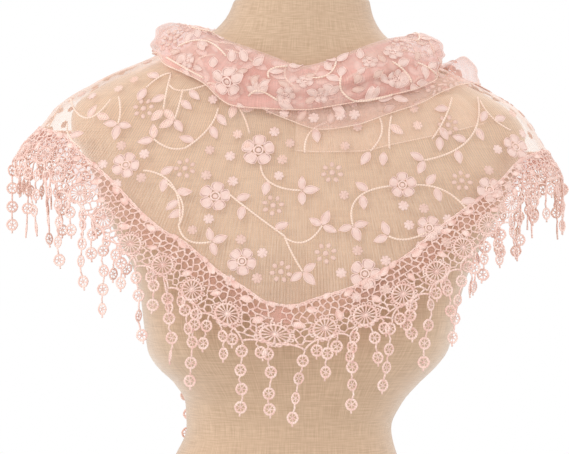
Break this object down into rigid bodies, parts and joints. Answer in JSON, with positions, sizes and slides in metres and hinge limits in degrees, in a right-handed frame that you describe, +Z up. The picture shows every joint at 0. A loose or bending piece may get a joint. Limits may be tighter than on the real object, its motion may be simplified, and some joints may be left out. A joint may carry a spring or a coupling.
{
  "type": "lace shawl on a dress form",
  "caption": "Sheer embroidered net triangle shawl with a guipure lace border and medallion fringe, worn point to the front as a folded cowl on a linen-covered dress form.",
  "frame": {"origin": "middle of the neck, on the flat base of the dress form", "axes": "+Z up, -Y out of the front of the chest, +X to the right as seen from the front"},
  "size_m": [0.5083, 0.2852, 0.585],
  "materials": {
    "net": "sheer pale pink net with raised pink embroidery",
    "lace": "pale pink guipure lace of matt thread",
    "linen": "unbleached linen stretched over a form"
  },
  "bodies": {
    "root": {"dress_form": "linen", "front_panel": "net", "under_layer": "net", "cowl_front": "net", "cowl_back": "net", "shoulder_turn": "net", "nape_knot": "net", "tail_left": "net", "tail_right": "net", "border_left": "lace", "border_right": "lace", "fringe_left": "lace", "fringe_right": "lace", "tail_border_left": "lace", "tail_border_right": "lace", "tail_fringe_left": "lace", "tail_fringe_right": "lace"}
  },
  "joints": []
}
